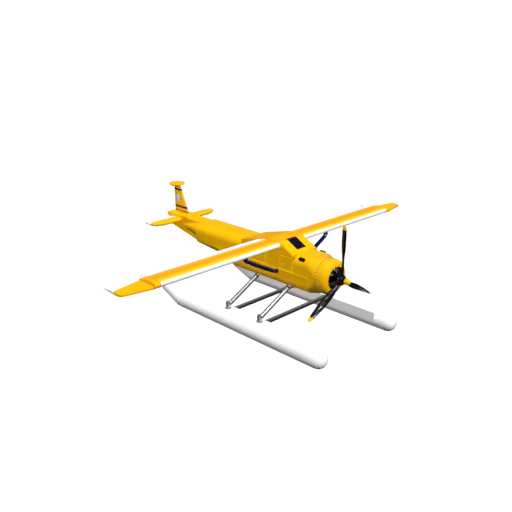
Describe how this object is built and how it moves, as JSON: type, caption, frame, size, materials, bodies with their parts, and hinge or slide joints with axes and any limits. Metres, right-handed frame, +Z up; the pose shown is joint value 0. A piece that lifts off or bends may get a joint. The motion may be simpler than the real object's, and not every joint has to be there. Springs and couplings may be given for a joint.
{
  "type": "floatplane",
  "caption": "Single-engine high-wing floatplane with strutted wing and twin floats; propeller, doors, flaps and control surfaces move.",
  "frame": {"origin": "middle of the aircraft's box on the surface under the floats", "axes": "nose toward -Y, left wing toward +X, +Z up"},
  "size_m": [14.68, 10.5557, 4.391],
  "materials": {
    "yellow_paint": "gloss yellow enamel",
    "white_paint": "gloss white enamel",
    "black_paint": "gloss black",
    "navy_paint": "gloss navy blue",
    "steel": "polished tube",
    "glass": "clear pane",
    "upholstery": "woven seat cover",
    "panel": "matte black panel"
  },
  "bodies": {
    "airframe": {"cabin_floor": "yellow_paint", "cabin_side_L": "yellow_paint", "cabin_side_R": "yellow_paint", "cabin_roof": "yellow_paint", "firewall": "yellow_paint", "aft_bulkhead": "yellow_paint", "windscreen_frame": "yellow_paint", "windscreen_glass": "glass", "instrument_panel": "panel", "crew_seat_L": "upholstery", "crew_seat_R": "upholstery", "cabin_bench": "upholstery", "nose_section": "yellow_paint", "cowl_ring": "yellow_paint", "cowl_lip": "yellow_paint", "engine_block": "black_paint", "exhaust_L": "black_paint", "exhaust_R": "black_paint", "rear_fuselage": "yellow_paint", "tail_cone": "yellow_paint", "fin_base": "yellow_paint", "fin": "yellow_paint", "fin_cap": "yellow_paint", "tailplane_L": "yellow_paint", "tailplane_R": "yellow_paint", "wing_L": "yellow_paint", "wing_R": "yellow_paint", "wing_tip_L": "yellow_paint", "wing_tip_R": "yellow_paint", "wing_strut_L": "navy_paint", "wing_strut_R": "navy_paint", "float_L": "white_paint", "float_R": "white_paint", "float_strut_front_L": "steel", "float_strut_front_R": "steel", "float_strut_rear_L": "steel", "float_strut_rear_R": "steel", "spreader_bar_front": "black_paint", "spreader_bar_rear": "black_paint"},
    "propeller": {"propeller_hub": "black_paint", "propeller_blade_1": "black_paint", "propeller_blade_2": "black_paint", "propeller_blade_3": "black_paint", "spinner": "yellow_paint"},
    "rudder_body": {"rudder": "yellow_paint"},
    "elevator_body": {"elevator_L": "white_paint", "elevator_R": "white_paint"},
    "flap_body_L": {"flap_L": "white_paint"},
    "flap_body_R": {"flap_R": "white_paint"},
    "aileron_body_L": {"aileron_L": "white_paint"},
    "aileron_body_R": {"aileron_R": "white_paint"},
    "crew_door_body_L": {"crew_door_L": "yellow_paint"},
    "crew_door_body_R": {"crew_door_R": "yellow_paint"},
    "cabin_door_body_L": {"cabin_door_L": "yellow_paint", "cabin_window_L": "glass"},
    "cabin_door_body_R": {"cabin_door_R": "yellow_paint", "cabin_window_R": "glass"}
  },
  "joints": [
    {"name": "propeller_spin", "type": "hinge", "parent": "airframe", "child": "propeller", "pos_m": [0, -4.251, 2.386], "axis": [0, 1, 0], "continuous": true},
    {"name": "rudder_turn", "type": "hinge", "parent": "airframe", "child": "rudder_body", "pos_m": [0, 4.845, 3.05], "axis": [0, 0, 1], "range_deg": [-25, 25]},
    {"name": "elevator_turn", "type": "hinge", "parent": "airframe", "child": "elevator_body", "pos_m": [0, 4.79, 2.862], "axis": [1, 0, 0], "range_deg": [-20, 25]},
    {"name": "flap_turn_L", "type": "hinge", "parent": "airframe", "child": "flap_body_L", "pos_m": [0.663, -0.869, 3.223], "axis": [-1, 0, 0], "range_deg": [0, 40]},
    {"name": "flap_turn_R", "type": "hinge", "parent": "airframe", "child": "flap_body_R", "pos_m": [-0.663, -0.869, 3.223], "axis": [-1, 0, 0], "range_deg": [0, 40]},
    {"name": "aileron_turn_L", "type": "hinge", "parent": "airframe", "child": "aileron_body_L", "pos_m": [6.006, -0.95741, 3.205], "axis": [0.9805, -0.1967, 0], "range_deg": [-20, 20]},
    {"name": "aileron_turn_R", "type": "hinge", "parent": "airframe", "child": "aileron_body_R", "pos_m": [-6.006, -0.95741, 3.205], "axis": [0.9805, 0.1967, 0], "range_deg": [-20, 20]},
    {"name": "crew_door_hinge_L", "type": "hinge", "parent": "airframe", "child": "crew_door_body_L", "pos_m": [0.655, -2.444, 2.37], "axis": [0, 0, -1], "range_deg": [0, 75]},
    {"name": "crew_door_hinge_R", "type": "hinge", "parent": "airframe", "child": "crew_door_body_R", "pos_m": [-0.655, -2.444, 2.37], "axis": [0, 0, 1], "range_deg": [0, 75]},
    {"name": "cabin_door_hinge_L", "type": "hinge", "parent": "airframe", "child": "cabin_door_body_L", "pos_m": [0.655, -1.119, 2.37], "axis": [0, 0, -1], "range_deg": [0, 85]},
    {"name": "cabin_door_hinge_R", "type": "hinge", "parent": "airframe", "child": "cabin_door_body_R", "pos_m": [-0.655, -1.119, 2.37], "axis": [0, 0, 1], "range_deg": [0, 85]}
  ],
  "couplings": [
    {"joint": "flap_turn_R", "follows": "flap_turn_L", "ratio": 1},
    {"joint": "aileron_turn_R", "follows": "aileron_turn_L", "ratio": -1}
  ]
}
